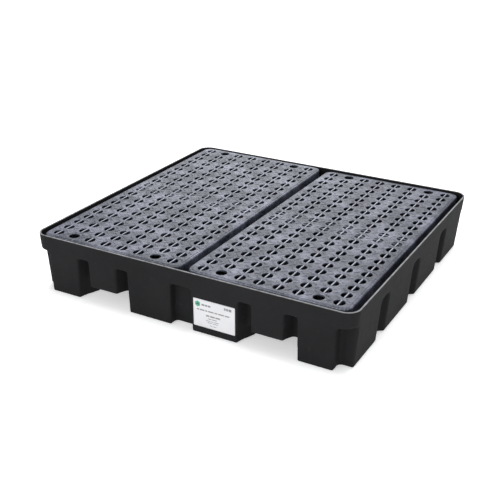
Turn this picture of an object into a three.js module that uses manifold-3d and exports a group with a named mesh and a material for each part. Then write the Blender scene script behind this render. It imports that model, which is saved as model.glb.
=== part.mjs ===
// Spill containment pallet: a moulded sump tray with fork tunnels and two drop-in deck grates.
// Units are millimetres. +X runs along the fork-entry face, +Y away from it, +Z up.
// The origin is on the floor, at the centre of the tray's footprint.

import * as THREE from 'three';
import { mergeVertices } from 'three/addons/utils/BufferGeometryUtils.js';
import Module from 'manifold-3d';

const wasm = await Module();
wasm.setup();

// ---------------------------------------------------------------- driving dimensions

const TRAY_WIDTH = 1337;
const TRAY_DEPTH = 1262;
const TRAY_HEIGHT = 232;
const WALL = 7;
const SIDE_DRAFT = 18;
const END_DRAFT = 3;
const TRAY_CORNER_RADIUS = 52;
const FOOT_EDGE = 8;
const RIM_EDGE = 2.5;
const WALL_LEVEL = 0.6; // share of the draft at the height where recess outlines are drawn
const BAND_BOTTOM = 167;

const FORK_CEILING = 58;
const FORK_CENTRE = 348;
const MOUTH_HALF_WIDTH = 117.5;
const TUNNEL_HALF_WIDTH = 86;
const MOUTH_DEPTH = 85;
const BLOCK_HALF_WIDTH = 60;
const BLOCK_SIDE_DEPTH = 50;
const BLOCK_FLARE = 25;

const CENTRE_RECESS_HALF_WIDTH = 46;
const CENTRE_RECESS_DEPTH = 34;
const CORNER_NOTCH_X = 602;
const CORNER_NOTCH_DEPTH = 50;
const CORNER_NOTCH_CHAMFER = 12;
const GROOVE_PITCH = 330;
const GROOVE_HALF_WIDTH = 42;
const GROOVE_FLOOR_HALF_WIDTH = 15;
const GROOVE_DEPTH = 32;
const GROOVE_TOP_RISE = 18;
const GROOVE_FOOT_SCALE = 1.08;
const GROOVE_ARCH = [{ scale: 0.86, drop: 0.3 }, { scale: 0.6, drop: 0 }];
const RECESS_DRAFT = 3;

const TOWER_ROWS = [-360, 0, 360];
const TOWER_BASE_HALF = 48;
const TOWER_TOP_HALF = 38;
const TOWER_CORNER_RADIUS = 12;
const MIDDLE_TOWER_EXTRA = 20;

const GRATE_WIDTH = 624;
const GRATE_LENGTH = 1234;
const GRATE_CENTRE_X = 327.5;
const GRATE_SHIFT = { x: -5, y: 4.5 };
const GRATE_TOP = 228.5;
const GRATE_PLATE = 9;
const GRATE_SKIRT = 6;
const GRATE_CORNER_RADIUS = 38;
const GRATE_EDGE = 8;
const GRATE_EDGE_SHARE = 0.29; // how far in, and down, an octagonal edge's middle point lies
const SEAT_CLEARANCE = 0.4;

const HOLE_COLUMNS = 8;
const HOLE_ROWS = 20;
const COLUMN_PITCH = 75;
const ROW_PITCH = 60.3;
const HOLE_RADIUS = 21;
const WEB_THICKNESS = 5.6;
const RIB_THICKNESS = 5;
const FINGER_HOLE_COLUMNS = [1, 6];
const CROSS_RIB_ROWS = [9, 10];

const LABEL_WIDTH = 170;
const LABEL_HEIGHT = 110;
const LABEL_THICKNESS = 0.8;
const LABEL_CENTRE = { x: 139.5, z: 84.5 };
const LABEL_GAP = 0.3;

// ---------------------------------------------------------------- derived sizes

const CEILING_SEAT = BAND_BOTTOM + WALL;
const GRATE_BOTTOM = CEILING_SEAT + SEAT_CLEARANCE;
const HALF_X = TRAY_WIDTH / 2;
const HALF_Y = TRAY_DEPTH / 2;
const OUTSIDE = 20;

// ---------------------------------------------------------------- materials

function plastic(color, roughness) {
  return new THREE.MeshStandardMaterial({ color, roughness, metalness: 0 });
}

const trayPlastic = () => plastic(0x2c2d2f, 0.62);
const gratePlastic = () => plastic(0x4c5059, 0.5);
const labelStock = () => plastic(0xe6e7ea, 0.45);

// ---------------------------------------------------------------- solids

function solidOf(geometry) {
  const bare = geometry.clone();
  bare.deleteAttribute('normal');
  bare.deleteAttribute('uv');
  const welded = mergeVertices(bare, 1e-4);
  const vertProperties = new Float32Array(welded.attributes.position.array);
  const triVerts = new Uint32Array(welded.index.array);
  return new wasm.Manifold(new wasm.Mesh({ numProp: 3, vertProperties, triVerts }));
}

function geometryOf(solid) {
  const mesh = solid.getMesh();
  const geometry = new THREE.BufferGeometry();
  geometry.setAttribute('position', new THREE.BufferAttribute(mesh.vertProperties, 3));
  geometry.setIndex(new THREE.BufferAttribute(mesh.triVerts, 1));
  geometry.computeVertexNormals();
  return geometry;
}

function joined(solids) {
  return solids.reduce((whole, solid) => whole.add(solid));
}

// A closed solid through convex rings of {x, y}, each at its own height, all with equal counts.
function loft(levels) {
  const count = levels[0].ring.length;
  const positions = [];
  for (const { ring, z } of levels) {
    for (const point of ring) positions.push(point.x, point.y, z);
  }
  const index = [];
  for (let level = 0; level + 1 < levels.length; level += 1) {
    for (let i = 0; i < count; i += 1) {
      const a = level * count + i;
      const b = level * count + ((i + 1) % count);
      index.push(a, b, b + count, a, b + count, a + count);
    }
  }
  const top = (levels.length - 1) * count;
  for (let i = 1; i + 1 < count; i += 1) {
    index.push(0, i + 1, i);
    index.push(top, top + i, top + i + 1);
  }
  const geometry = new THREE.BufferGeometry();
  geometry.setAttribute('position', new THREE.Float32BufferAttribute(positions, 3));
  geometry.setIndex(index);
  return solidOf(geometry);
}

// Four corners rounded by arcs, anticlockwise from the +X side.
function roundedRectangle(halfX, halfY, radius, steps) {
  const ring = [];
  const corners = [[1, 1], [-1, 1], [-1, -1], [1, -1]];
  corners.forEach(([sx, sy], quarter) => {
    for (let step = 0; step <= steps; step += 1) {
      const angle = (quarter + step / steps) * Math.PI / 2;
      ring.push({
        x: sx * (halfX - radius) + radius * Math.cos(angle),
        y: sy * (halfY - radius) + radius * Math.sin(angle),
      });
    }
  });
  return ring;
}

function box(x0, x1, y0, y1, z0, z1) {
  const geometry = new THREE.BoxGeometry(x1 - x0, y1 - y0, z1 - z0);
  geometry.translate((x0 + x1) / 2, (y0 + y1) / 2, (z0 + z1) / 2);
  return solidOf(geometry);
}

// A prism between two outlines, which may differ so that its walls carry draft.
function prism(bottomRing, topRing, z0, z1) {
  return loft([{ ring: bottomRing, z: z0 }, { ring: topRing, z: z1 }]);
}

// ---------------------------------------------------------------- sump tray

// The tray's drafted outer form, pulled in by a wall thickness for its inside.
function trayForm(inset, z0, z1, roundFeet) {
  const ringAt = (z, extra) => {
    const fall = (TRAY_HEIGHT - z) / TRAY_HEIGHT;
    const halfX = HALF_X - SIDE_DRAFT * fall - inset - extra;
    const halfY = HALF_Y - END_DRAFT * fall - inset - extra;
    return { ring: roundedRectangle(halfX, halfY, TRAY_CORNER_RADIUS - inset - extra, 6), z };
  };
  const levels = [ringAt(z0, roundFeet), ringAt(z0 + roundFeet, 0)];
  if (inset === 0) levels.push(ringAt(z1 - RIM_EDGE, 0), ringAt(z1, RIM_EDGE));
  else levels.push(ringAt(z1, 0));
  return loft(levels);
}

// Recesses are drawn on the -Y end or the +X side and turned to their own wall. grow is the
// thickness of the wall that the moulding wraps around them.

function mirrored(ring, signX, signY) {
  const turned = ring.map(({ x, y }) => ({ x: x * signX, y: y * signY }));
  return signX * signY < 0 ? turned.reverse() : turned;
}

function recess(face, floor, depth, z0, z1, signX, signY) {
  const wall = -HALF_Y + END_DRAFT * WALL_LEVEL;
  const ringWith = (draft) => mirrored([
    { x: face[0] - draft, y: wall - OUTSIDE },
    { x: face[1] + draft, y: wall - OUTSIDE },
    { x: face[1] + draft, y: wall },
    { x: floor[1] + draft, y: wall + depth + draft },
    { x: floor[0] - draft, y: wall + depth + draft },
    { x: face[0] - draft, y: wall },
  ], signX, signY);
  return prism(ringWith(RECESS_DRAFT), ringWith(0), z0, z1);
}

function centreRecess(signY, grow) {
  const face = CENTRE_RECESS_HALF_WIDTH + grow;
  const floor = CENTRE_RECESS_HALF_WIDTH - RECESS_DRAFT + grow;
  const depth = CENTRE_RECESS_DEPTH + grow;
  return recess([-face, face], [-floor, floor], depth, -1, BAND_BOTTOM + grow, 1, signY);
}

function blockRecesses(signX, signY, grow) {
  const flare = (MOUTH_HALF_WIDTH - TUNNEL_HALF_WIDTH) * BLOCK_SIDE_DEPTH / MOUTH_DEPTH;
  const inner = BLOCK_HALF_WIDTH - grow;
  const outer = MOUTH_HALF_WIDTH + grow;
  const depth = BLOCK_SIDE_DEPTH + grow;
  const spanAt = (side, near, far) => (
    side < 0 ? [FORK_CENTRE - far, FORK_CENTRE - near] : [FORK_CENTRE + near, FORK_CENTRE + far]
  );
  return joined([-1, 1].map((side) => {
    const face = spanAt(side, inner, outer);
    const floor = spanAt(side, inner + BLOCK_FLARE, outer - flare);
    return recess(face, floor, depth, FORK_CEILING - 2, BAND_BOTTOM + grow, signX, signY);
  }));
}

function forkMouth(signX, signY, grow) {
  const face = MOUTH_HALF_WIDTH + grow;
  const floor = TUNNEL_HALF_WIDTH + grow;
  const spanAt = (half) => [FORK_CENTRE - half, FORK_CENTRE + half];
  return recess(spanAt(face), spanAt(floor), MOUTH_DEPTH + grow, -1, FORK_CEILING + grow, signX, signY);
}

function forkTunnel(signX, grow) {
  const ringWith = (draft) => mirrored([
    { x: FORK_CENTRE - TUNNEL_HALF_WIDTH - grow - draft, y: -HALF_Y },
    { x: FORK_CENTRE + TUNNEL_HALF_WIDTH + grow + draft, y: -HALF_Y },
    { x: FORK_CENTRE + TUNNEL_HALF_WIDTH + grow + draft, y: HALF_Y },
    { x: FORK_CENTRE - TUNNEL_HALF_WIDTH - grow - draft, y: HALF_Y },
  ], signX, 1);
  return prism(ringWith(RECESS_DRAFT), ringWith(0), -1, FORK_CEILING + grow);
}

function cornerNotch(signX, signY, grow) {
  const x = CORNER_NOTCH_X - grow;
  const y = -HALF_Y + CORNER_NOTCH_DEPTH + grow;
  const ringWith = (draft) => mirrored([
    { x: x - draft, y: -HALF_Y - OUTSIDE },
    { x: HALF_X + OUTSIDE, y: -HALF_Y - OUTSIDE },
    { x: HALF_X + OUTSIDE, y: y + draft },
    { x: x - draft + CORNER_NOTCH_CHAMFER, y: y + draft },
    { x: x - draft, y: y + draft - CORNER_NOTCH_CHAMFER },
  ], signX, signY);
  return prism(ringWith(RECESS_DRAFT), ringWith(0), -1, BAND_BOTTOM + grow);
}

function sideGroove(signX, y, grow) {
  const ringAt = (scale) => {
    const wall = HALF_X - SIDE_DRAFT * WALL_LEVEL;
    const face = GROOVE_HALF_WIDTH * scale + grow;
    const floor = GROOVE_FLOOR_HALF_WIDTH * scale + grow;
    const inner = wall - GROOVE_DEPTH * scale - grow;
    return mirrored([
      { x: wall + OUTSIDE, y: y - face },
      { x: wall + OUTSIDE, y: y + face },
      { x: wall, y: y + face },
      { x: inner, y: y + floor },
      { x: inner, y: y - floor },
      { x: wall, y: y - face },
    ], signX, 1);
  };
  const arch = GROOVE_ARCH.map(({ scale, drop }) => (
    { ring: ringAt(scale), z: BAND_BOTTOM - GROOVE_TOP_RISE * drop + grow }
  ));
  return loft([
    { ring: ringAt(GROOVE_FOOT_SCALE), z: -1 },
    { ring: ringAt(1), z: BAND_BOTTOM - GROOVE_TOP_RISE },
    ...arch,
  ]);
}

// Towers rise from the underside to the level of the ledges and carry the grates.
function tower(x, y, base, extraX, grow) {
  const ringWith = (half) => roundedRectangle(half + extraX, half, TOWER_CORNER_RADIUS, 2)
    .map((point) => ({ x: point.x + x, y: point.y + y }));
  return prism(ringWith(TOWER_BASE_HALF + grow), ringWith(TOWER_TOP_HALF + grow), base, BAND_BOTTOM + grow);
}

function towers(grow) {
  return TOWER_ROWS.flatMap((y) => [
    tower(0, y, -1, MIDDLE_TOWER_EXTRA, grow),
    tower(-FORK_CENTRE, y, FORK_CEILING - 2, 0, grow),
    tower(FORK_CENTRE, y, FORK_CEILING - 2, 0, grow),
  ]);
}

// Everything that is pressed up into the moulding from below and from its four walls.
function undercuts(grow) {
  const cuts = towers(grow);
  for (const signY of [1, -1]) {
    cuts.push(centreRecess(signY, grow));
    for (const signX of [1, -1]) {
      cuts.push(blockRecesses(signX, signY, grow));
      cuts.push(forkMouth(signX, signY, grow));
      cuts.push(cornerNotch(signX, signY, grow));
    }
  }
  for (const signX of [1, -1]) {
    cuts.push(forkTunnel(signX, grow));
    for (const step of [-1, 0, 1]) cuts.push(sideGroove(signX, step * GROOVE_PITCH, grow));
  }
  return joined(cuts);
}

function sumpTray() {
  const outside = trayForm(0, 0, TRAY_HEIGHT, FOOT_EDGE).subtract(undercuts(0));
  const hollow = trayForm(WALL, WALL, TRAY_HEIGHT + 1, FOOT_EDGE).subtract(undercuts(WALL));
  return outside.subtract(hollow);
}

// ---------------------------------------------------------------- deck grates

const columnX = (column) => (column - (HOLE_COLUMNS - 1) / 2) * COLUMN_PITCH;
const rowY = (row) => (row - (HOLE_ROWS - 1) / 2) * ROW_PITCH;

const isFingerHole = (column, row) => FINGER_HOLE_COLUMNS.includes(column)
  && (row === 0 || row === HOLE_ROWS - 1);

// Half of a six-sided hole, on one side of the rib that runs through it.
function halfHole(sign) {
  const web = WEB_THICKNESS / 2;
  const slope = Math.tan(Math.PI / 6);
  const flat = HOLE_RADIUS * Math.cos(Math.PI / 6);
  return mirrored([
    { x: web, y: -HOLE_RADIUS + web * slope },
    { x: flat, y: -HOLE_RADIUS / 2 },
    { x: flat, y: HOLE_RADIUS / 2 },
    { x: web, y: HOLE_RADIUS - web * slope },
  ], sign, 1);
}

// A quarter of a hole, where a cross rib meets the long rib.
function quarterHole(signX, signY) {
  const web = WEB_THICKNESS / 2;
  const slope = Math.tan(Math.PI / 6);
  const flat = HOLE_RADIUS * Math.cos(Math.PI / 6);
  return mirrored([
    { x: web, y: web },
    { x: flat, y: web },
    { x: flat, y: HOLE_RADIUS / 2 },
    { x: web, y: HOLE_RADIUS - web * slope },
  ], signX, signY);
}

function fingerHole() {
  const sides = 8;
  return Array.from({ length: sides }, (_, i) => ({
    x: HOLE_RADIUS * Math.cos((i + 0.5) * 2 * Math.PI / sides),
    y: HOLE_RADIUS * Math.sin((i + 0.5) * 2 * Math.PI / sides),
  }));
}

function holeOutlines(column, row) {
  if (isFingerHole(column, row)) return [fingerHole()];
  if (!CROSS_RIB_ROWS.includes(row)) return [halfHole(1), halfHole(-1)];
  return [[1, 1], [1, -1], [-1, 1], [-1, -1]].map(([sx, sy]) => quarterHole(sx, sy));
}

function grateHoles() {
  const holes = [];
  for (let column = 0; column < HOLE_COLUMNS; column += 1) {
    for (let row = 0; row < HOLE_ROWS; row += 1) {
      const bottom = isFingerHole(column, row) ? GRATE_BOTTOM - 1 : GRATE_TOP - GRATE_PLATE - 1;
      for (const outline of holeOutlines(column, row)) {
        const ring = outline.map(({ x, y }) => ({ x: x + columnX(column), y: y + rowY(row) }));
        holes.push(prism(ring, ring, bottom, GRATE_TOP + 1));
      }
    }
  }
  return joined(holes);
}

// The long ribs under every column of holes and the cross ribs under the middle rows.
function grateRibs() {
  const half = RIB_THICKNESS / 2;
  const z = [GRATE_BOTTOM - OUTSIDE, GRATE_TOP + OUTSIDE];
  const ribs = [];
  for (let column = 0; column < HOLE_COLUMNS; column += 1) {
    const x = columnX(column);
    ribs.push(box(x - half, x + half, -GRATE_LENGTH, GRATE_LENGTH, ...z));
  }
  for (const row of CROSS_RIB_ROWS) {
    const y = rowY(row);
    ribs.push(box(-GRATE_WIDTH, GRATE_WIDTH, y - half, y + half, ...z));
  }
  return joined(ribs);
}

function grateBlank() {
  const ringWith = (inset) => roundedRectangle(
    GRATE_WIDTH / 2 - inset, GRATE_LENGTH / 2 - inset, GRATE_CORNER_RADIUS - inset, 4,
  );
  const shell = loft([
    { ring: ringWith(0), z: GRATE_BOTTOM },
    { ring: ringWith(0), z: GRATE_TOP - GRATE_EDGE },
    { ring: ringWith(GRATE_EDGE * GRATE_EDGE_SHARE), z: GRATE_TOP - GRATE_EDGE * GRATE_EDGE_SHARE },
    { ring: ringWith(GRATE_EDGE), z: GRATE_TOP },
  ]);
  const skirt = ringWith(GRATE_SKIRT);
  const under = prism(skirt, skirt, GRATE_BOTTOM - 1, GRATE_TOP - GRATE_PLATE);
  return shell.subtract(under.subtract(grateRibs()));
}

function deckGrate() {
  return grateBlank().subtract(grateHoles());
}

// ---------------------------------------------------------------- identification label

function label() {
  return new THREE.BoxGeometry(LABEL_WIDTH, LABEL_THICKNESS, LABEL_HEIGHT);
}

// ---------------------------------------------------------------- assembly

const pallet = new THREE.Group();

function place(name, geometry, material) {
  const mesh = new THREE.Mesh(geometry, material);
  mesh.name = name;
  pallet.add(mesh);
  return mesh;
}

place('sump_tray', geometryOf(sumpTray()), trayPlastic());

const grateGeometry = geometryOf(deckGrate());
const leftGrate = place('left_grate', grateGeometry, gratePlastic());
leftGrate.position.set(GRATE_SHIFT.x - GRATE_CENTRE_X, GRATE_SHIFT.y, 0);
const rightGrate = place('right_grate', grateGeometry.clone(), gratePlastic());
rightGrate.position.set(GRATE_SHIFT.x + GRATE_CENTRE_X, GRATE_SHIFT.y, 0);

// The label lies flat on the drafted front face of the foot right of the centre.
const labelTilt = Math.atan(END_DRAFT / TRAY_HEIGHT);
const faceY = -(HALF_Y - END_DRAFT * (TRAY_HEIGHT - LABEL_CENTRE.z) / TRAY_HEIGHT);
const labelPlate = place('label', label(), labelStock());
labelPlate.rotation.x = labelTilt;
labelPlate.position.set(LABEL_CENTRE.x, faceY - LABEL_GAP - LABEL_THICKNESS / 2, LABEL_CENTRE.z);

export default pallet;
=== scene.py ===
"""Looks of a spill containment pallet: a rotomoulded sump tray, two drop-in deck grates and a label.

Shapes are worked out in millimetres, in the CAD model's frame, and become metres when a mesh is made.
The driving dimensions repeat those of the CAD source.
"""

import math

import bpy
import numpy as np
from mathutils import Matrix, Vector
from mathutils.geometry import delaunay_2d_cdt


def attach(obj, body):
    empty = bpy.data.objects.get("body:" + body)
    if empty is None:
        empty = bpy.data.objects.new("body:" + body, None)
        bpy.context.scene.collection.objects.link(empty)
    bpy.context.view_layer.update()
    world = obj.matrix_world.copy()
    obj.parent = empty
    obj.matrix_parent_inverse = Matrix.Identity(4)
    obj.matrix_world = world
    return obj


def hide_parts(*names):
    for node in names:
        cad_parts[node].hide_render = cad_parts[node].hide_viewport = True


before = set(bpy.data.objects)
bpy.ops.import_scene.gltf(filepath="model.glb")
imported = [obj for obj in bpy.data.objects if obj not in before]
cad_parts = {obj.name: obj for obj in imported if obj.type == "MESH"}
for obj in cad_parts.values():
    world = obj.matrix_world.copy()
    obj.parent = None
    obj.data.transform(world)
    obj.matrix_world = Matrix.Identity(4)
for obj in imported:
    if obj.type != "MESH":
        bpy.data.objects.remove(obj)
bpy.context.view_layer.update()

MM = 0.001

# ---------------------------------------------------------------- driving dimensions, as in the CAD

TRAY_WIDTH, TRAY_DEPTH, TRAY_HEIGHT = 1337, 1262, 232
WALL = 7
SIDE_DRAFT, END_DRAFT = 18, 3
TRAY_CORNER_RADIUS = 52
BAND_BOTTOM = 167
WALL_LEVEL = 0.6
HALF_X, HALF_Y = TRAY_WIDTH / 2, TRAY_DEPTH / 2

FORK_CEILING, FORK_CENTRE = 58, 348
MOUTH_HALF_WIDTH, TUNNEL_HALF_WIDTH, MOUTH_DEPTH = 117.5, 86, 85
BLOCK_HALF_WIDTH, BLOCK_SIDE_DEPTH, BLOCK_FLARE = 60, 50, 25
CENTRE_RECESS_HALF_WIDTH, CENTRE_RECESS_DEPTH = 46, 34
CORNER_NOTCH_X, CORNER_NOTCH_DEPTH = 602, 50
GROOVE_PITCH, GROOVE_HALF_WIDTH, GROOVE_FLOOR_HALF_WIDTH, GROOVE_DEPTH = 330, 42, 15, 32
RECESS_DRAFT = 3
TOWER_PITCH = 360
TOWER_BASE_HALF, TOWER_TOP_HALF, MIDDLE_TOWER_EXTRA = 48, 38, 20

GRATE_WIDTH, GRATE_LENGTH = 624, 1234
GRATE_CENTRE_X = 327.5
GRATE_SHIFT_X, GRATE_SHIFT_Y = -5, 4.5
GRATE_BOTTOM, GRATE_TOP = 174.4, 228.5
GRATE_PLATE, GRATE_SKIRT, GRATE_CORNER_RADIUS = 9, 6, 38
HOLE_COLUMNS, HOLE_ROWS = 8, 20
COLUMN_PITCH, ROW_PITCH = 75, 60.3
HOLE_RADIUS = 21
WEB_THICKNESS, RIB_THICKNESS = 5.6, 5
FINGER_HOLE_COLUMNS = (1, 6)
CROSS_RIB_ROWS = (9, 10)

LABEL_WIDTH, LABEL_HEIGHT = 170, 110
LABEL_CENTRE_X, LABEL_CENTRE_Z = 139.5, 84.5

# ---------------------------------------------------------------- moulding details

FOOT_ROUND = 6
EDGE_ROUND = 8
RECESS_ROUND = 10
NOTCH_ROUND = 13
GROOVE_ROUND, GROOVE_ARCH_ROUND = 11, 24
TOWER_ROUND = 13
BLEND_ROUND = 8
LIP_ROUND, LIP_STEPS = 2.6, 3
LIP_START, LIP_END = 219, 208  # heights where the swept lip takes over from the outer and inner skins
LIP_HIGHLIGHT_BAND = (0.2296, 0.2317)  # heights in metres between which the lip is painted pale as a highlight
SKIN_TOP = 200
OUTER_STEP, INNER_STEP = ((4.5, 6.5))
OUTER_TRIANGLES, INNER_TRIANGLES = ((112000, 62000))

# ---------------------------------------------------------------- camera

CAMERA_PLACE = (1.5319, -2.9210, 1.5708)
CAMERA_FORWARD = (-0.43541, 0.79802, -0.41663)
CAMERA_RIGHT = (0.87614, 0.48200, 0.00760)
CAMERA_LENS = 62.441


def make_camera():
    data = bpy.data.cameras.new("camera")
    data.sensor_width = 36
    data.lens = CAMERA_LENS
    data.clip_end = 100
    forward = Vector(CAMERA_FORWARD).normalized()
    right = Vector(CAMERA_RIGHT)
    right = (right - forward * right.dot(forward)).normalized()
    up = right.cross(forward)
    turn = Matrix((right, up, -forward)).transposed()
    camera = bpy.data.objects.new("camera", data)
    camera.matrix_world = Matrix.Translation(CAMERA_PLACE) @ turn.to_4x4()
    bpy.context.scene.collection.objects.link(camera)
    bpy.context.scene.camera = camera


# ---------------------------------------------------------------- materials


class Nodes:
    """A material's node tree, with short calls for the nodes that the plastics use."""

    def __init__(self, name):
        self.material = bpy.data.materials.new(name)
        self.material.use_nodes = True
        self.tree = self.material.node_tree
        self.tree.nodes.clear()
        self.output = self.tree.nodes.new("ShaderNodeOutputMaterial")
        self.shader = self.tree.nodes.new("ShaderNodeBsdfPrincipled")
        self.join(self.shader.outputs["BSDF"], self.output.inputs["Surface"])
        self.place = self.tree.nodes.new("ShaderNodeTexCoord").outputs["Object"]

    def join(self, start, end):
        self.tree.links.new(start, end)

    def feed(self, value, socket):
        if isinstance(value, bpy.types.NodeSocket):
            self.join(value, socket)
        else:
            socket.default_value = value

    def noise(self, scale, detail, roughness, stretch=(1, 1, 1), turn=(0, 0, 0)):
        mapping = self.tree.nodes.new("ShaderNodeMapping")
        mapping.inputs["Scale"].default_value = stretch
        mapping.inputs["Rotation"].default_value = turn
        self.join(self.place, mapping.inputs["Vector"])
        node = self.tree.nodes.new("ShaderNodeTexNoise")
        self.join(mapping.outputs["Vector"], node.inputs["Vector"])
        node.inputs["Scale"].default_value = scale
        node.inputs["Detail"].default_value = detail
        node.inputs["Roughness"].default_value = roughness
        return node.outputs["Fac"]

    def remap(self, value, low, high, to_low, to_high):
        node = self.tree.nodes.new("ShaderNodeMapRange")
        self.feed(value, node.inputs["Value"])
        numbers = {"From Min": low, "From Max": high, "To Min": to_low, "To Max": to_high}
        for name, number in numbers.items():
            node.inputs[name].default_value = number
        return node.outputs["Result"]

    def split(self, axis):
        """One coordinate of the surface point, in metres in the piece's own frame."""
        node = self.tree.nodes.new("ShaderNodeSeparateXYZ")
        self.join(self.place, node.inputs["Vector"])
        return node.outputs[axis]

    def maths(self, operation, a, b=0.0):
        node = self.tree.nodes.new("ShaderNodeMath")
        node.operation = operation
        self.feed(a, node.inputs[0])
        self.feed(b, node.inputs[1])
        return node.outputs["Value"]

    def mix(self, share, a, b):
        node = self.tree.nodes.new("ShaderNodeMix")
        node.data_type = "RGBA"
        self.feed(share, node.inputs["Factor"])
        self.feed(a if isinstance(a, bpy.types.NodeSocket) else (*a, 1), node.inputs[6])
        self.feed(b if isinstance(b, bpy.types.NodeSocket) else (*b, 1), node.inputs[7])
        return node.outputs[2]

    def bump(self, height, distance, strength, below=None):
        node = self.tree.nodes.new("ShaderNodeBump")
        node.inputs["Strength"].default_value = strength
        node.inputs["Distance"].default_value = distance
        self.join(height, node.inputs["Height"])
        if below is not None:
            self.join(below, node.inputs["Normal"])
        return node.outputs["Normal"]

    def finish(self, colour, roughness, normal, specular):
        """Feeds the shader and returns the material. specular is the same all over the surface."""
        self.join(colour, self.shader.inputs["Base Color"])
        self.join(roughness, self.shader.inputs["Roughness"])
        self.join(normal, self.shader.inputs["Normal"])
        self.shader.inputs["Specular IOR Level"].default_value = specular
        return self.material


# Colours are linear red, green and blue.
TRAY_BLACK, TRAY_HAZE = (0.0118, 0.0119, 0.0126), (0.0178, 0.0179, 0.0190)
TRAY_DUST, TRAY_SCRATCH = (0.034, 0.034, 0.036), (0.045, 0.045, 0.048)
# Colour of the highlight painted along the top of the lip.
LIP_HIGHLIGHT = (0.310, 0.312, 0.320)
TRAY_SPECULAR = 0.06


def tray_plastic():
    """Black polyethylene: orange-peel skin, haze and dust, fine scratches, and a pale highlight painted
    along the lip.
    """
    n = Nodes("tray_polyethylene")
    haze = n.noise(scale=3.2, detail=4, roughness=0.6)
    dust = n.noise(scale=38, detail=5, roughness=0.65)
    scratch = n.noise(scale=9, detail=6, roughness=0.75, stretch=(1, 1, 14))
    marks = n.remap(scratch, 0.66, 0.74, 0, 1)
    colour = n.mix(n.remap(haze, 0.35, 0.7, 0, 1), TRAY_BLACK, TRAY_HAZE)
    colour = n.mix(n.remap(dust, 0.58, 0.8, 0, 0.4), colour, TRAY_DUST)
    colour = n.mix(n.maths("MULTIPLY", marks, 0.30), colour, TRAY_SCRATCH)
    # A pale band painted along the top of the lip as a highlight, blotched by the dust noise.
    lip = n.remap(n.split("Z"), *LIP_HIGHLIGHT_BAND, 0, 1)
    lip = n.maths("MULTIPLY", lip, n.remap(dust, 0.3, 0.6, 0.45, 1))
    colour = n.mix(lip, colour, LIP_HIGHLIGHT)
    rough = n.remap(haze, 0.3, 0.7, 0.66, 0.78)
    rough = n.maths("ADD", rough, n.remap(dust, 0.5, 0.8, 0.0, 0.12))
    peel = n.noise(scale=420, detail=2, roughness=0.5)
    ripple = n.noise(scale=26, detail=3, roughness=0.5)
    skin = n.bump(peel, distance=0.0004, strength=0.35)
    skin = n.bump(ripple, distance=0.0016, strength=0.30, below=skin)
    return n.finish(colour, rough, skin, TRAY_SPECULAR)


GRATE_DARK, GRATE_SCUFF = (0.030, 0.034, 0.052), (0.225, 0.240, 0.315)
# Grain colour, then the colour of the highlight painted on the webs and hole rims.
GRATE_GRAIN, GRATE_HIGHLIGHT = (0.270, 0.286, 0.370), (0.360, 0.378, 0.450)
GRATE_SPECULAR = 0.42
# Where the highlight painted on the deck's webs and hole rims begins and ends, in millimetres.
WEB_HIGHLIGHT = (WEB_THICKNESS / 2 - 1.0, WEB_THICKNESS / 2 + 0.2)
WEB_HIGHLIGHT_END = (HOLE_RADIUS - 2, HOLE_RADIUS)
RIM_HIGHLIGHT_RADIUS, RIM_HIGHLIGHT_FADE, RIM_HIGHLIGHT = HOLE_RADIUS + 0.6, (0.4, 1.6), 0.25
DECK_HIGHLIGHT_DEPTH = (GRATE_TOP - 6, GRATE_TOP - 4)
LAST_HOLE = (HOLE_ROWS - 1) / 2 * ROW_PITCH + HOLE_RADIUS
FIELD_END = (LAST_HOLE + 2, LAST_HOLE + 4)


def hole_highlight(n, centre_x):
    """How much painted highlight the deck gets: most on the webs across its holes, a little round the
    holes.
    """

    def fade(value, span, start, end):
        return n.remap(value, span[0] * MM, span[1] * MM, start, end)

    along_x = n.maths("SUBTRACT", n.split("X"), (centre_x + COLUMN_PITCH / 2) * MM)
    along_y = n.maths("SUBTRACT", n.split("Y"), (GRATE_SHIFT_Y + ROW_PITCH / 2) * MM)
    from_web = n.maths("PINGPONG", along_x, COLUMN_PITCH / 2 * MM)
    from_row = n.maths("PINGPONG", along_y, ROW_PITCH / 2 * MM)
    web = n.maths("MULTIPLY", fade(from_web, WEB_HIGHLIGHT, 1, 0), fade(from_row, WEB_HIGHLIGHT_END, 1, 0))
    squares = n.maths("ADD", n.maths("POWER", from_web, 2), n.maths("POWER", from_row, 2))
    reach = n.maths("POWER", squares, 0.5)
    from_rim = n.maths("ABSOLUTE", n.maths("SUBTRACT", reach, RIM_HIGHLIGHT_RADIUS * MM))
    rim = fade(from_rim, RIM_HIGHLIGHT_FADE, RIM_HIGHLIGHT, 0)
    top = fade(n.split("Z"), DECK_HIGHLIGHT_DEPTH, 0, 1)
    off_centre = n.maths("ABSOLUTE", n.maths("SUBTRACT", n.split("Y"), GRATE_SHIFT_Y * MM))
    field = fade(off_centre, FIELD_END, 1, 0)
    return n.maths("MULTIPLY", n.maths("MULTIPLY", n.maths("MAXIMUM", web, rim), top), field)


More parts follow.
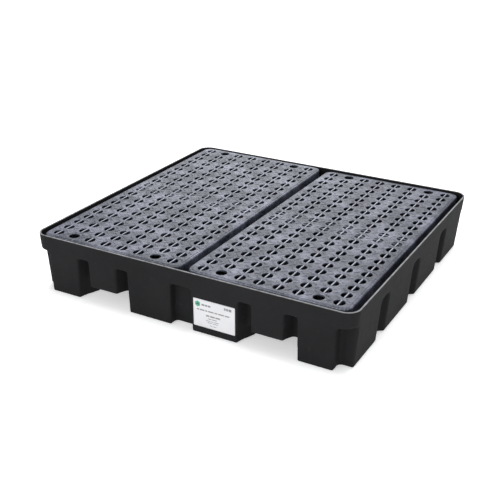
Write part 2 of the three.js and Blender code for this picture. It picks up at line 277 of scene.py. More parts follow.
def grate_plastic(name, centre_x):
    """Dark grey polyethylene, scuffed in patches where drums have stood, with a highlight painted paler
    on webs and hole rims.
    """
    n = Nodes(name)
    patch = n.noise(scale=9, detail=5, roughness=0.62)
    streak = n.noise(scale=30, detail=5, roughness=0.7, stretch=(1, 5, 1), turn=(0, 0, 0.35))
    grain = n.noise(scale=170, detail=4, roughness=0.6)
    dents = n.noise(scale=55, detail=4, roughness=0.6)
    scuff = n.maths("MULTIPLY", n.remap(patch, 0.44, 0.66, 0, 1), n.remap(streak, 0.40, 0.68, 0.2, 1))
    colour = n.mix(scuff, GRATE_DARK, GRATE_SCUFF)
    colour = n.mix(n.remap(grain, 0.52, 0.70, 0, 0.6), colour, GRATE_GRAIN)
    # The webs and hole rims on the deck's top are painted paler as a highlight.
    painted_highlight = n.maths("MULTIPLY", hole_highlight(n, centre_x), n.remap(streak, 0.35, 0.6, 0.55, 1))
    colour = n.mix(painted_highlight, colour, GRATE_HIGHLIGHT)
    rough = n.remap(streak, 0.3, 0.7, 0.56, 0.40)
    rough = n.maths("ADD", rough, n.remap(patch, 0.4, 0.7, 0.05, -0.04))
    skin = n.bump(grain, distance=0.0008, strength=0.5)
    skin = n.bump(dents, distance=0.0034, strength=0.75, below=skin)
    return n.finish(colour, rough, skin, GRATE_SPECULAR)


FILM_SPECULAR, FILM_UNEVEN = 0.45, 0.06


def film(name, colour, shade, roughness):
    """Printed label film: a faint tint change and a slightly uneven gloss."""
    n = Nodes(name)
    cloud = n.noise(scale=14, detail=3, roughness=0.5)
    fibre = n.noise(scale=900, detail=2, roughness=0.5)
    tint = n.mix(n.remap(cloud, 0.35, 0.65, 0, 1), colour, shade)
    rough = n.remap(fibre, 0.3, 0.7, roughness - FILM_UNEVEN, roughness + FILM_UNEVEN)
    return n.finish(tint, rough, n.bump(fibre, distance=0.00006, strength=0.3), FILM_SPECULAR)


# ---------------------------------------------------------------- mesh helpers


def mesh_object(name, points, faces, materials, face_materials=None):
    """A smooth mesh from points in millimetres."""
    mesh = bpy.data.meshes.new(name)
    places = (np.asarray(points, float) * MM).tolist()
    mesh.from_pydata(places, [], [list(map(int, face)) for face in faces])
    for material in materials:
        mesh.materials.append(material)
    mesh.polygons.foreach_set("use_smooth", [True] * len(mesh.polygons))
    if face_materials is not None:
        mesh.polygons.foreach_set("material_index", face_materials)
    mesh.update()
    made = bpy.data.objects.new(name, mesh)
    bpy.context.scene.collection.objects.link(made)
    return made


def quad_strip(a, b):
    """Quads between two closed loops that hold the same number of vertices."""
    size = len(a)
    return [[a[k], a[(k + 1) % size], b[(k + 1) % size], b[k]] for k in range(size)]


def weight_normals(piece):
    """Lets large flat faces set the shading, so that rounded edges don't bleed into them."""
    weighted = piece.modifiers.new("weighted", "WEIGHTED_NORMAL")
    weighted.weight = 100
    return piece


# ---------------------------------------------------------------- sump tray: distance field


def round_max(a, b, radius):
    """Intersection of two distance fields, its edge rounded."""
    corner = np.hypot(np.maximum(a + radius, 0), np.maximum(b + radius, 0))
    return np.minimum(np.maximum(a, b), -radius) + corner


def round_min(a, b, radius):
    """Union of two distance fields, its inner corner rounded."""
    return -round_max(-a, -b, radius)


class Undercut:
    """A drafted prism on a convex anticlockwise outline, rounded, pressed up into the moulding."""

    def __init__(self, outline, top, slope, corner_round, top_round):
        self.edges = []
        for (x0, y0), (x1, y1) in zip(outline, outline[1:] + outline[:1]):
            length = math.hypot(x1 - x0, y1 - y0)
            nx, ny = (y1 - y0) / length, (x0 - x1) / length
            self.edges.append((nx, ny, -(nx * x0 + ny * y0)))
        self.top, self.slope = top, slope
        self.corner_round, self.top_round = corner_round, top_round

    def field(self, x, y, z):
        lean = (z - self.top) * self.slope
        sides = None
        for nx, ny, offset in self.edges:
            side = nx * x + ny * y + offset
            sides = side if sides is None else round_max(sides, side, self.corner_round)
        return round_max(sides + lean, z - self.top, self.top_round)


BEYOND = 40  # how far an undercut's outline runs on past the tray
END_WALL = HALF_Y - END_DRAFT * WALL_LEVEL
SIDE_WALL = HALF_X - SIDE_DRAFT * WALL_LEVEL


def end_recess(face, floor, depth, top=BAND_BOTTOM):
    """A recess in an end wall: its left and right ends on the wall and at its floor."""
    outline = [
        (face[1], END_WALL + BEYOND),
        (face[0], END_WALL + BEYOND),
        (face[0], END_WALL),
        (floor[0], END_WALL - depth),
        (floor[1], END_WALL - depth),
        (face[1], END_WALL),
    ]
    return Undercut(outline, top, RECESS_DRAFT / top, RECESS_ROUND, RECESS_ROUND)


def rectangle(x0, x1, y0, y1):
    return [(x1, y1), (x0, y1), (x0, y0), (x1, y0)]


def quarter_undercuts():
    """The undercuts of one quarter of the tray; the other quarters mirror them."""
    mouth = (FORK_CENTRE - MOUTH_HALF_WIDTH, FORK_CENTRE + MOUTH_HALF_WIDTH)
    tunnel = (FORK_CENTRE - TUNNEL_HALF_WIDTH, FORK_CENTRE + TUNNEL_HALF_WIDTH)
    block = (FORK_CENTRE - BLOCK_HALF_WIDTH, FORK_CENTRE + BLOCK_HALF_WIDTH)
    flare = (MOUTH_HALF_WIDTH - TUNNEL_HALF_WIDTH) * BLOCK_SIDE_DEPTH / MOUTH_DEPTH
    centre = CENTRE_RECESS_HALF_WIDTH
    centre_floor = centre - RECESS_DRAFT
    made = [
        end_recess((-centre, centre), (-centre_floor, centre_floor), CENTRE_RECESS_DEPTH),
        end_recess((mouth[0], block[0]), (mouth[0] + flare, block[0] - BLOCK_FLARE), BLOCK_SIDE_DEPTH),
        end_recess((block[1], mouth[1]), (block[1] + BLOCK_FLARE, mouth[1] - flare), BLOCK_SIDE_DEPTH),
        end_recess(mouth, tunnel, MOUTH_DEPTH, FORK_CEILING),
        Undercut(
            rectangle(*tunnel, -BEYOND - HALF_Y, HALF_Y + BEYOND),
            FORK_CEILING,
            RECESS_DRAFT / FORK_CEILING,
            RECESS_ROUND,
            RECESS_ROUND,
        ),
        Undercut(
            rectangle(CORNER_NOTCH_X, HALF_X + BEYOND, HALF_Y - CORNER_NOTCH_DEPTH, HALF_Y + BEYOND),
            BAND_BOTTOM,
            RECESS_DRAFT / BAND_BOTTOM,
            NOTCH_ROUND,
            NOTCH_ROUND,
        ),
    ]
    groove_slope = RECESS_DRAFT / BAND_BOTTOM
    for y in (0, GROOVE_PITCH):
        outline = [
            (SIDE_WALL + BEYOND, y - GROOVE_HALF_WIDTH),
            (SIDE_WALL + BEYOND, y + GROOVE_HALF_WIDTH),
            (SIDE_WALL, y + GROOVE_HALF_WIDTH),
            (SIDE_WALL - GROOVE_DEPTH, y + GROOVE_FLOOR_HALF_WIDTH),
            (SIDE_WALL - GROOVE_DEPTH, y - GROOVE_FLOOR_HALF_WIDTH),
            (SIDE_WALL, y - GROOVE_HALF_WIDTH),
        ]
        made.append(Undercut(outline, BAND_BOTTOM, groove_slope, GROOVE_ROUND, GROOVE_ARCH_ROUND))
    for x, base, extra in ((0, 0, MIDDLE_TOWER_EXTRA), (FORK_CENTRE, FORK_CEILING, 0)):
        slope = (TOWER_BASE_HALF - TOWER_TOP_HALF) / (BAND_BOTTOM - base)
        half = TOWER_TOP_HALF
        for y in (0, TOWER_PITCH):
            outline = rectangle(x - half - extra, x + half + extra, y - half, y + half)
            made.append(Undercut(outline, BAND_BOTTOM, slope, TOWER_ROUND, RECESS_ROUND))
    return made


UNDERCUTS = quarter_undercuts()


def wall_field(x, y, z):
    """The tray's drafted outer wall, without its feet: x and y are already folded into one quarter."""
    fall = (TRAY_HEIGHT - z) / TRAY_HEIGHT
    qx = x - (HALF_X - SIDE_DRAFT * fall - TRAY_CORNER_RADIUS)
    qy = y - (HALF_Y - END_DRAFT * fall - TRAY_CORNER_RADIUS)
    outside = np.hypot(np.maximum(qx, 0), np.maximum(qy, 0))
    return outside + np.minimum(np.maximum(qx, qy), 0) - TRAY_CORNER_RADIUS


def solid_field(x, y, z):
    """Distance to the tray's outer skin, below zero inside the moulding and its sump."""
    x, y = np.abs(x), np.abs(y)
    body = round_max(wall_field(x, y, z), -z, FOOT_ROUND)
    pressed = None
    for undercut in UNDERCUTS:
        depth = undercut.field(x, y, z)
        pressed = depth if pressed is None else round_min(pressed, depth, BLEND_ROUND)
    return round_max(body, -pressed, EDGE_ROUND)


def field_gradient(points, step=0.4):
    parts = []
    for axis in range(3):
        ahead, behind = points.copy(), points.copy()
        ahead[:, axis] += step
        behind[:, axis] -= step
        parts.append((solid_field(*ahead.T) - solid_field(*behind.T)) / (2 * step))
    return np.stack(parts, 1)


LEAST_SLOPE = 0.2  # keeps a step short where the field is nearly flat


def settle(points, level, rounds=2):
    """Moves points onto the field's level."""
    for _ in range(rounds):
        slope = field_gradient(points)
        size = np.maximum((slope**2).sum(1), LEAST_SLOPE)
        points = points - slope * ((solid_field(*points.T) - level) / size)[:, None]
    return points


NET_BESIDE, NET_BELOW = 8, 6  # how far the grid reaches past the tray


def surface_net(level, step):
    """Quads round the field's level, open at SKIN_TOP, from one quarter of the field mirrored twice."""
    count_x, count_y = math.ceil((HALF_X + NET_BESIDE) / step), math.ceil((HALF_Y + NET_BESIDE) / step)
    xs, ys = np.arange(count_x + 1) * step, np.arange(count_y + 1) * step
    zs = np.linspace(-NET_BELOW, SKIN_TOP, math.ceil((SKIN_TOP + NET_BELOW) / step) + 1)
    quarter = solid_field(xs[:, None, None], ys[None, :, None], zs[None, None, :]) - level
    half = np.concatenate([quarter[:0:-1], quarter])
    values = np.concatenate([half[:, :0:-1], half], axis=1)
    xs, ys = np.concatenate([-xs[:0:-1], xs]), np.concatenate([-ys[:0:-1], ys])
    inside = values < 0
    corners = [(i, j, k) for i in (0, 1) for j in (0, 1) for k in (0, 1)]
    cells_x, cells_y, cells_z = (n - 1 for n in values.shape)
    total = np.zeros((cells_x, cells_y, cells_z), np.int8)
    for i, j, k in corners:
        total += inside[i : i + cells_x, j : j + cells_y, k : k + cells_z]
    active = (total > 0) & (total < len(corners))
    number = np.full(active.shape, -1, np.int64)
    cells = np.argwhere(active)
    number[tuple(cells.T)] = np.arange(len(cells))
    axes = (xs, ys, zs)
    summed, crossings = np.zeros((len(cells), 3)), np.zeros(len(cells))
    for start in corners:
        for axis in range(3):
            if start[axis]:
                continue
            end = tuple(1 if a == axis else start[a] for a in range(3))
            at_start, at_end = cells + start, cells + end
            f0, f1 = values[tuple(at_start.T)], values[tuple(at_end.T)]
            crossed = (f0 < 0) != (f1 < 0)
            share = np.where(crossed, f0 / np.where(crossed, f0 - f1, 1), 0)[:, None]
            p0 = np.stack([axes[a][at_start[:, a]] for a in range(3)], 1)
            p1 = np.stack([axes[a][at_end[:, a]] for a in range(3)], 1)
            summed += np.where(crossed[:, None], p0 + share * (p1 - p0), 0)
            crossings += crossed
    points = summed / crossings[:, None]
    quads = []
    for axis in range(3):
        b, c = (axis + 1) % 3, (axis + 2) % 3
        low = [slice(None)] * 3
        high = [slice(None)] * 3
        low[axis], high[axis] = slice(None, -1), slice(1, None)
        for other in (b, c):
            low[other] = high[other] = slice(1, -1)
        enters, leaves = inside[tuple(low)], inside[tuple(high)]
        edges = np.argwhere(enters != leaves)
        outward = enters[tuple(edges.T)]
        edges[:, b] += 1
        edges[:, c] += 1
        around = []
        for db, dc in ((-1, -1), (0, -1), (0, 0), (-1, 0)):
            cell = edges.copy()
            cell[:, b] += db
            cell[:, c] += dc
            around.append(number[tuple(cell.T)])
        quad = np.stack(around, 1)
        quad[~outward] = quad[~outward][:, ::-1]
        quads.append(quad)
    return points, np.concatenate(quads)


def thinned(points, quads, triangles):
    """The same surface with about that many triangles, kept dense where it curves."""
    mesh = bpy.data.meshes.new("dense")
    mesh.from_pydata(points.tolist(), [], quads.tolist())
    dense = bpy.data.objects.new("dense", mesh)
    bpy.context.scene.collection.objects.link(dense)
    modifier = dense.modifiers.new("thin", "DECIMATE")
    modifier.ratio = min(1.0, triangles / (2 * len(quads)))
    shown = dense.evaluated_get(bpy.context.evaluated_depsgraph_get())
    slim = bpy.data.meshes.new_from_object(shown)
    co = np.zeros(len(slim.vertices) * 3)
    slim.vertices.foreach_get("co", co)
    faces = [list(p.vertices) for p in slim.polygons]
    bpy.data.objects.remove(dense)
    bpy.data.meshes.remove(mesh)
    bpy.data.meshes.remove(slim)
    return co.reshape(-1, 3), faces


def open_rim(points, faces):
    """The open edge's vertices, anticlockwise seen from above."""
    seen = {}
    for face in faces:
        for a, b in zip(face, face[1:] + face[:1]):
            key = (min(a, b), max(a, b))
            seen[key] = seen.get(key, 0) + 1
    rim = sorted({v for edge, times in seen.items() if times == 1 for v in edge})
    return sorted(rim, key=lambda v: math.atan2(points[v][1], points[v][0]))


def skin(level, step, triangles):
    """One skin of the tray, its open rim at one height."""
    points, quads = surface_net(level, step)
    points, faces = thinned(settle(points, level), quads, triangles)
    rim = open_rim(points, faces)
    rim_height = np.median(points[rim, 2])
    points = settle(points, level, 1)
    points[rim, 2] = rim_height
    return points, faces, rim


def lip_section():
    """The lip's section from outside to inside: height, and distance in from the outer wall."""
    turns = [k * math.pi / 2 / LIP_STEPS for k in range(LIP_STEPS + 1)]
    bend = [(TRAY_HEIGHT - LIP_ROUND * (1 - math.sin(a)), LIP_ROUND * (1 - math.cos(a))) for a in turns]
    back = [(height, WALL - inset) for height, inset in reversed(bend)]
    return [(LIP_START, 0), *bend, *back, (LIP_END, WALL)]


def wall_ring(start, height, inset, rounds=4, probe=0.2):
    """The outline start carried up the drafted wall to a height, a distance in from the outside."""
    ring = np.column_stack([start[:, :2], np.full(len(start), float(height))])
    signs = np.sign(ring[:, :2])
    for _ in range(rounds):
        x, y = np.abs(ring[:, 0]), np.abs(ring[:, 1])
        z = ring[:, 2]
        here = wall_field(x, y, z)
        ahead = [wall_field(x + probe, y, z) - here, wall_field(x, y + probe, z) - here]
        slope = np.stack(ahead, 1) / probe
        slope /= np.maximum(np.linalg.norm(slope, axis=1), 1e-6)[:, None]
        ring[:, :2] -= signs * slope * (here + inset)[:, None]
    return ring


def zipped(first, second, points):
    """Triangles between two anticlockwise loops with different counts, the first one above."""
    ahead = []
    for loop in (first, second):
        angles = [math.atan2(points[v][1], points[v][0]) for v in loop]
        ahead.append([*angles[1:], math.pi * 2 + angles[0], math.inf])
    triangles = []
    i = j = 0
    while i < len(first) or j < len(second):
        a, b = first[i % len(first)], second[j % len(second)]
        if ahead[0][i] <= ahead[1][j]:
            triangles.append([a, first[(i + 1) % len(first)], b])
            i += 1
        else:
            triangles.append([a, second[(j + 1) % len(second)], b])
            j += 1
    return triangles


def sump_tray():
    """Outer skin, rolled lip and inner skin, as one closed body."""
    outer, outer_faces, outer_rim = skin(0, OUTER_STEP, OUTER_TRIANGLES)
    inner, inner_faces, inner_rim = skin(-WALL, INNER_STEP, INNER_TRIANGLES)
    points = [outer, inner]
    faces = outer_faces + [[v + len(outer) for v in reversed(face)] for face in inner_faces]
    inner_rim = [v + len(outer) for v in inner_rim]
    count = len(outer) + len(inner)
    previous = outer_rim
    start = outer[outer_rim]
    for height, inset in lip_section():
        ring = wall_ring(start, height, inset)
        points.append(ring)
        loop = list(range(count, count + len(ring)))
        count += len(ring)
        faces += quad_strip(previous, loop)
        previous = loop
    points = np.concatenate(points)
    faces += zipped(previous, inner_rim, points)
    return weight_normals(mesh_object("sump_tray_moulding", points, faces, [tray_plastic()]))


# ---------------------------------------------------------------- deck grates

HOLE_EDGE = 1.3
HOLE_TIP_ROUND = 1.6
TIP_INSET = WEB_THICKNESS / 2 + HOLE_TIP_ROUND
TIP_REACH = math.sqrt((HOLE_RADIUS - HOLE_TIP_ROUND) ** 2 - TIP_INSET**2)
HALF_HOLE_STEPS, QUARTER_HOLE_STEPS, TIP_STEPS = 10, 6, 3
FINGER_HOLE_STEPS, FINGER_HOLE_CLEARANCE = 28, 3
# A hole's top edge: how far it is opened out, and the drop from the deck.
EDGE_STEPS = ((HOLE_EDGE, 0.0), (HOLE_EDGE * 0.3, HOLE_EDGE * 0.3), (0.0, HOLE_EDGE))
BORDER_WIDTH = 12
GRATE_CORNER_STEPS = 7
RIB_OVERLAP = 1  # how far a rib runs into the plate and skirts
CLEAT_LENGTH, CLEAT_WIDTH = 25, 6.2
CLEAT_STEPS, CLEAT_CLEARANCE = 5, 12
# A cleat's section: distance in from its edge, and height above the deck.
CLEAT_SECTION = ((0.0, 0.0), (0.45, 0.75), (1.3, 1.3), (2.3, 1.55))
# Raised cleats between the holes: place from a hole's centre, and the angle they lie at.
CLEATS = ((COLUMN_PITCH / 2, 0, 47), (21, 25, -40), (-21, -27, -40))

# The outer section of a grate: distance in from its edge, and height.
GRATE_SECTION = (
    (GRATE_SKIRT, GRATE_TOP - GRATE_PLATE),
    (GRATE_SKIRT, GRATE_BOTTOM),
    (1.2, GRATE_BOTTOM),
    (0, GRATE_BOTTOM + 1.2),
    (0, GRATE_TOP - 7.0),
    (0.5, GRATE_TOP - 4.7),
    (1.8, GRATE_TOP - 3.0),
    (3.9, GRATE_TOP - 2.0),
    (6.0, GRATE_TOP - 1.7),
    (9.0, GRATE_TOP - 1.6),
    (9.9, GRATE_TOP - 1.35),
    (10.9, GRATE_TOP - 0.35),
    (BORDER_WIDTH, GRATE_TOP),
)


def arc(cx, cy, radius, start, end, steps):
    angles = [math.radians(start + (end - start) * k / steps) for k in range(steps + 1)]
    return [(cx + radius * math.cos(a), cy + radius * math.sin(a)) for a in angles]


def half_hole(sign, grow):
    """One side of a round hole that a web runs through, opened out by grow."""
    tip = HOLE_TIP_ROUND + grow
    lean = math.degrees(math.atan2(TIP_REACH, TIP_INSET))
    outline = arc(0, 0, HOLE_RADIUS + grow, -lean, lean, HALF_HOLE_STEPS)
    outline += arc(TIP_INSET, TIP_REACH, tip, lean, 180, TIP_STEPS)[1:]
    outline += arc(TIP_INSET, -TIP_REACH, tip, 180, 360 - lean, TIP_STEPS)[:-1]
    return [(-x, y) for x, y in reversed(outline)] if sign < 0 else outline


def quarter_hole(sign_x, sign_y, grow):
    """One quarter of a round hole that a web and a cross rib run through, opened out by grow."""
    tip = HOLE_TIP_ROUND + grow
    lean = math.degrees(math.atan2(TIP_INSET, TIP_REACH))
    outline = arc(0, 0, HOLE_RADIUS + grow, lean, 90 - lean, QUARTER_HOLE_STEPS)
    outline += arc(TIP_INSET, TIP_REACH, tip, 90 - lean, 180, TIP_STEPS)[1:]
    outline += arc(TIP_INSET, TIP_INSET, tip, 180, 270, TIP_STEPS)
    outline += arc(TIP_REACH, TIP_INSET, tip, 270, 360 + lean, TIP_STEPS)[:-1]
    outline = [(x * sign_x, y * sign_y) for x, y in outline]
    return outline[::-1] if sign_x * sign_y < 0 else outline


def finger_hole(grow):
    return arc(0, 0, HOLE_RADIUS + grow, 0, 360, FINGER_HOLE_STEPS)[:-1]


def cleat(angle, inset):
    """A long rounded bar's outline, pulled in by inset."""
    reach, radius = (CLEAT_LENGTH - CLEAT_WIDTH) / 2, CLEAT_WIDTH / 2 - inset
    outline = arc(reach, 0, radius, -90, 90, CLEAT_STEPS)
    outline += arc(-reach, 0, radius, 90, 270, CLEAT_STEPS)
    c, s = math.cos(math.radians(angle)), math.sin(math.radians(angle))
    return [(x * c - y * s, x * s + y * c) for x, y in outline]


def moved(outline, x, y):
    return [(px + x, py + y) for px, py in outline]


def rounded_rectangle(half_x, half_y, radius, steps):
    x, y = half_x - radius, half_y - radius
    outline = []
    for k, (sx, sy) in enumerate(((1, 1), (-1, 1), (-1, -1), (1, -1))):
        outline += arc(sx * x, sy * y, radius, 90 * k, 90 * k + 90, steps)
    return outline


class Shell:
    """A closed body built from rings of points, strips between them and flat fills."""

    def __init__(self):
        self.points, self.faces = [], []

    def ring(self, outline, z):
        first = len(self.points)
        self.points += [(x, y, z) for x, y in outline]
        return list(range(first, len(self.points)))

    def chain(self, rings):
        for a, b in zip(rings, rings[1:]):
            self.faces += quad_strip(a, b)

    def fill(self, outer, holes, up):
        """Triangles inside outer and outside every hole, facing up or down."""
        places, loops = [], []
        for loop in [outer, *holes]:
            loops.append(list(range(len(places), len(places) + len(loop))))
            places += loop
        flat = [Vector(self.points[v][:2]) for v in places]
        _, _, faces, origins, _, within = delaunay_2d_cdt(flat, [], loops, 0, 1e-6, True)
        for face, inside in zip(faces, within):
            if list(inside) == [0]:
                made = [places[origins[v][0]] for v in face]
                self.faces.append(made if up else made[::-1])

    def block(self, x0, x1, y0, y1, z0, z1):
        corners = [(x0, y0), (x1, y0), (x1, y1), (x0, y1)]
        low, high = self.ring(corners, z0), self.ring(corners, z1)
        self.faces += [*quad_strip(low, high), low[::-1], high]


def column_x(column):
    return (column - (HOLE_COLUMNS - 1) / 2) * COLUMN_PITCH


def row_y(row):
    return (row - (HOLE_ROWS - 1) / 2) * ROW_PITCH


def is_finger_hole(column, row):
    return column in FINGER_HOLE_COLUMNS and row in (0, HOLE_ROWS - 1)


def hole_outlines(column, row, grow):
    if is_finger_hole(column, row):
        return [finger_hole(grow)]
    if row in CROSS_RIB_ROWS:
        return [quarter_hole(sx, sy, grow) for sx in (1, -1) for sy in (1, -1)]
    return [half_hole(sign, grow) for sign in (1, -1)]


def cleat_places():
    """Places and angles of the cleats between the holes, clear of the grate's border."""
    limit_x = GRATE_WIDTH / 2 - BORDER_WIDTH - CLEAT_CLEARANCE
    limit_y = GRATE_LENGTH / 2 - BORDER_WIDTH - CLEAT_CLEARANCE
    for column in range(-1, HOLE_COLUMNS):
        for row in range(-1, HOLE_ROWS + 1):
            for dx, dy, angle in CLEATS:
                x, y = column_x(column) + dx, row_y(row) + dy
                if abs(x) < limit_x and abs(y) < limit_y:
                    yield x, y, angle


def add_ribs(shell):
    """The long ribs under the columns of holes, cut at the finger holes, and the two cross ribs."""
    half = RIB_THICKNESS / 2
    top = GRATE_TOP - GRATE_PLATE + RIB_OVERLAP
    end = GRATE_LENGTH / 2 - GRATE_SKIRT + RIB_OVERLAP
    for column in range(HOLE_COLUMNS):
        x = column_x(column)
        spans = [(-end, end)]
        if column in FINGER_HOLE_COLUMNS:
            clear = -row_y(0) - HOLE_RADIUS - FINGER_HOLE_CLEARANCE
            stub = -row_y(0) + HOLE_RADIUS + FINGER_HOLE_CLEARANCE
            spans = [(-end, -stub), (-clear, clear), (stub, end)]
        for y0, y1 in spans:
            shell.block(x - half, x + half, y0, y1, GRATE_BOTTOM, top)
    side = GRATE_WIDTH / 2 - GRATE_SKIRT + RIB_OVERLAP
    for row in CROSS_RIB_ROWS:
        y = row_y(row)
        shell.block(-side, side, y - half, y + half, GRATE_BOTTOM, top)


def deck_grate(name, centre_x, rise, tilt, material):
    """A perforated grate. rise and tilt are how its deck sits a little off level, as moulded."""
    shell = Shell()
    section = []
    for inset, z in GRATE_SECTION:
        half_x, half_y = GRATE_WIDTH / 2 - inset, GRATE_LENGTH / 2 - inset
        outline = rounded_rectangle(half_x, half_y, GRATE_CORNER_RADIUS - inset, GRATE_CORNER_STEPS)
        section.append(shell.ring(outline, z))
    shell.chain(section)
    top_holes, bottom_holes = [], []
    levels = [(grow, GRATE_TOP - drop) for grow, drop in EDGE_STEPS]
    levels.append((0.0, GRATE_TOP - GRATE_PLATE))
    for column in range(HOLE_COLUMNS):
        for row in range(HOLE_ROWS):
            x, y = column_x(column), row_y(row)
            variants = [hole_outlines(column, row, grow) for grow, _ in levels]
            for k in range(len(variants[0])):
                rings = [shell.ring(moved(v[k], x, y), z) for v, (_, z) in zip(variants, levels)]
                shell.chain(rings)
                top_holes.append(rings[0])
                bottom_holes.append(rings[-1])
    for x, y, angle in cleat_places():
        outlines = [(moved(cleat(angle, inset), x, y), GRATE_TOP + up) for inset, up in CLEAT_SECTION]
        rings = [shell.ring(outline, z) for outline, z in outlines]
        shell.chain(rings)
        shell.faces.append(rings[-1])
        top_holes.append(rings[0])
    shell.fill(section[-1], top_holes, True)
    shell.fill(section[0], bottom_holes, False)
    add_ribs(shell)
    points = np.array(shell.points, float)
    share = (points[:, 2] - GRATE_BOTTOM) / (GRATE_TOP - GRATE_BOTTOM)
    points[:, 2] += share * (rise + tilt * points[:, 1])
    points[:, 0] += centre_x
    points[:, 1] += GRATE_SHIFT_Y
    return weight_normals(mesh_object(name, points, shell.faces, [material]))


# ---------------------------------------------------------------- label

LABEL_LIFT = 0.25
LABEL_FILM = 0.45
LABEL_CORNER, LABEL_CORNER_STEPS = 3, 4
# Points inside the label that let it bend: first and last distance from its edges, and spacings.
LABEL_GRID_FIRST, LABEL_GRID_LAST, LABEL_GRID_STEPS = 5, 1, (6.15, 7.7)
LABEL_ROUNDS = 6
# Name, colour, clouded colour and roughness of the label's paper and inks.
LABEL_FILMS = (
    ("label_white", (0.64, 0.64, 0.655), (0.60, 0.60, 0.615), 0.42),
    ("label_grey_print", (0.17, 0.175, 0.18), (0.22, 0.225, 0.23), 0.5),
    ("label_green_print", (0.05, 0.30, 0.17), (0.07, 0.36, 0.22), 0.45),
    ("label_dark_print", (0.020, 0.045, 0.040), (0.03, 0.06, 0.05), 0.45),
)
WHITE, GREY, GREEN, DARK = range(len(LABEL_FILMS))
# Bars that stand for lines of type, from the label's lower left corner: each line's bottom and top,
# then the left and right ends of its bars.
TYPE_LINES = (
    (86, 93, ((34, 46), (48, 58), (60, 71))),
    (90, 100, ((126, 133), (135, 143), (145, 156))),
    (66, 71, ((14, 24), (27, 46), (49, 58), (61, 84), (87, 99), (102, 126), (129, 148))),
    (47, 53, ((52, 66), (69, 88), (91, 110))),
    (37.5, 40.5, ((60, 74), (76, 96))),
    (29, 31.5, ((52, 70), (73, 82), (85, 104))),
    (22, 24.5, ((58, 76), (79, 100))),
    (11, 13, ((66, 78), (81, 94))),
)
MARK_CENTRE, MARK_RADIUS = (18, 90), 12
MARK_CHEVRON = ((-5, -5.5), (0, -1.6), (5, -5.5), (5, 0), (0, 5), (-5, 0))


def label_layout():
    """Every printed patch: its anticlockwise outline and which of the label's films it is."""
    patches = []
    for low, high, words in TYPE_LINES:
        patches += [([(x0, low), (x1, low), (x1, high), (x0, high)], GREY) for x0, x1 in words]
    patches.append((arc(*MARK_CENTRE, MARK_RADIUS, 30, 390, 6)[:-1], GREEN))
    patches.append((moved(MARK_CHEVRON, *MARK_CENTRE), DARK))
    return patches


def identification_label():
    """A film that follows the foot's face, with a plain mark and bars in place of type."""
    half_x, half_z = LABEL_WIDTH / 2, LABEL_HEIGHT / 2
    outline = rounded_rectangle(half_x, half_z, LABEL_CORNER, LABEL_CORNER_STEPS)
    outline = moved(outline, half_x, half_z)
    patches = label_layout()
    loops, flat = [], []
    for loop in [outline] + [patch for patch, _ in patches]:
        loops.append(list(range(len(flat), len(flat) + len(loop))))
        flat += [Vector(p) for p in loop]
    across, up = (
        np.arange(LABEL_GRID_FIRST, size - LABEL_GRID_LAST, step)
        for size, step in zip((LABEL_WIDTH, LABEL_HEIGHT), LABEL_GRID_STEPS)
    )
    grid = [Vector((u, v)) for u in across for v in up]
    made, _, faces, origins, _, within = delaunay_2d_cdt(flat + grid, [], loops, 0, 1e-5, True)
    front, indices = [], []
    for face, inside in zip(faces, within):
        if 0 in inside:
            top = max(inside)
            front.append(list(face))
            indices.append(WHITE if top == 0 else patches[top - 1][1])
    place = {origin[0]: v for v, origin in enumerate(origins) if origin}
    edge = [place[k] for k in loops[0]]
    size = len(made)
    u = np.array([p[0] for p in made])
    v = np.array([p[1] for p in made])
    x, z = LABEL_CENTRE_X - half_x + u, LABEL_CENTRE_Z - half_z + v
    layers = []
    for lift in (LABEL_LIFT + LABEL_FILM, LABEL_LIFT):
        y = np.full(size, -HALF_Y)
        for _ in range(LABEL_ROUNDS):
            y = y + (solid_field(x, y, z) - lift)
        layers.append(np.column_stack([x, y, z]))
    points = np.concatenate(layers)
    back = [[v + size for v in reversed(face)] for face in front]
    sides = [[a, a + size, b + size, b] for a, b in zip(edge, edge[1:] + edge[:1])]
    materials = [film(*look) for look in LABEL_FILMS]
    faces = front + back + sides
    indices += [WHITE] * (len(back) + len(sides))
    return mesh_object("identification_label", points, faces, materials, indices)


# ---------------------------------------------------------------- stage


SKY_COLOUR = (0.97, 0.98, 1.0, 1)
# The studio's walls are white near the floor and dimmer higher up.
SKY_RAMP = (("From Min", 0.10), ("From Max", 0.30), ("To Min", 1.05), ("To Max", 0.50))
FLOOR_HALF, FLOOR_Z = 3e4, -0.3
FLOOR_WHITE, FLOOR_CLOUD = (0.90, 0.90, 0.90), (0.93, 0.93, 0.93)
FLOOR_SPECULAR = 0.1
FLOOR_GLOW = 0.45  # keeps the shadow on the pale floor as faint as a cut-out product picture's
# Name, place, size and power of each soft light.
SOFT_LIGHTS = (
    ("back_softbox", (-1.9, 3.6, 2.3), (3.4, 2.2), 85),
    ("front_fill", (-0.6, -5.2, 2.2), (4.0, 2.6), 75),
)
LIGHTS_AIM = Vector((0, 0, 0.15))
SUN_POWER, SUN_SPREAD, SUN_TILT = 2.1, 30, -12


def sky():
    world = bpy.data.worlds.new("studio")
    bpy.context.scene.world = world
    world.use_nodes = True
    nodes, links = world.node_tree.nodes, world.node_tree.links
    background = nodes["Background"]
    background.inputs["Color"].default_value = SKY_COLOUR
    direction = nodes.new("ShaderNodeTexCoord").outputs["Generated"]
    split = nodes.new("ShaderNodeSeparateXYZ")
    ramp = nodes.new("ShaderNodeMapRange")
    for name, number in SKY_RAMP:
        ramp.inputs[name].default_value = number
    links.new(direction, split.inputs["Vector"])
    links.new(split.outputs["Z"], ramp.inputs["Value"])
    links.new(ramp.outputs["Result"], background.inputs["Strength"])


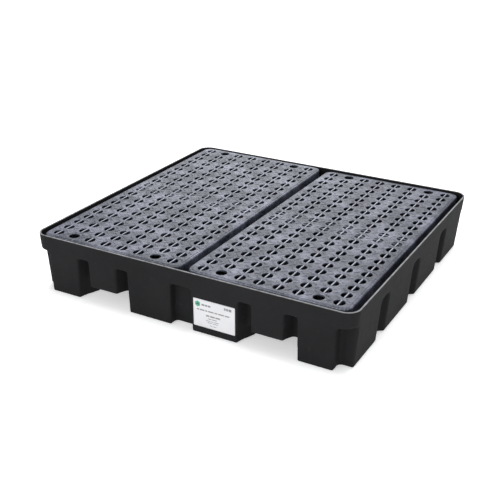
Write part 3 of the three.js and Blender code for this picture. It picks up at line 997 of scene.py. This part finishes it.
def floor_paper():
    n = Nodes("floor_paper")
    cloud = n.noise(scale=1.5, detail=3, roughness=0.5)
    fibre = n.noise(scale=300, detail=2, roughness=0.5)
    colour = n.mix(cloud, FLOOR_WHITE, FLOOR_CLOUD)
    rough = n.remap(cloud, 0.3, 0.7, 0.85, 0.95)
    n.shader.inputs["Emission Color"].default_value = (1, 1, 1, 1)
    n.shader.inputs["Emission Strength"].default_value = FLOOR_GLOW
    return n.finish(colour, rough, n.bump(fibre, distance=0.0002, strength=0.1), FLOOR_SPECULAR)


def studio():
    """Pale walls and floor, a softbox behind, a fill in front and a wide sun overhead."""
    sky()
    signs = ((-1, -1), (1, -1), (1, 1), (-1, 1))
    corners = [(x * FLOOR_HALF, y * FLOOR_HALF, FLOOR_Z) for x, y in signs]
    floor = mesh_object("floor", corners, [[0, 1, 2, 3]], [floor_paper()])
    for name, place, size, power in SOFT_LIGHTS:
        data = bpy.data.lights.new(name, "AREA")
        data.shape = "RECTANGLE"
        data.size, data.size_y = size
        data.energy = power
        lamp = bpy.data.objects.new(name, data)
        lamp.location = place
        lamp.rotation_euler = (LIGHTS_AIM - Vector(place)).to_track_quat("-Z", "Y").to_euler()
        bpy.context.scene.collection.objects.link(lamp)
    sun = bpy.data.lights.new("overhead", "SUN")
    sun.energy = SUN_POWER
    sun.angle = math.radians(SUN_SPREAD)
    overhead = bpy.data.objects.new("overhead", sun)
    overhead.rotation_euler = (math.radians(SUN_TILT), 0, 0)
    bpy.context.scene.collection.objects.link(overhead)
    bpy.context.scene.view_settings.view_transform = "Standard"


# ---------------------------------------------------------------- assembly

make_camera()
studio()

tray = sump_tray()
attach(tray, "tray")
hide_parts("sump_tray")

for side, body, node, rise, tilt in (
    (-1, "left_deck", "left_grate", 0.0, 0.0015),
    (1, "right_deck", "right_grate", -1.5, -0.005),
):
    centre_x = GRATE_SHIFT_X + side * GRATE_CENTRE_X
    material = grate_plastic(f"{node}_polyethylene", centre_x)
    grate = deck_grate(f"{node}_moulding", centre_x, rise, tilt, material)
    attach(grate, body)
    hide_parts(node)

label = identification_label()
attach(label, "tray")
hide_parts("label")
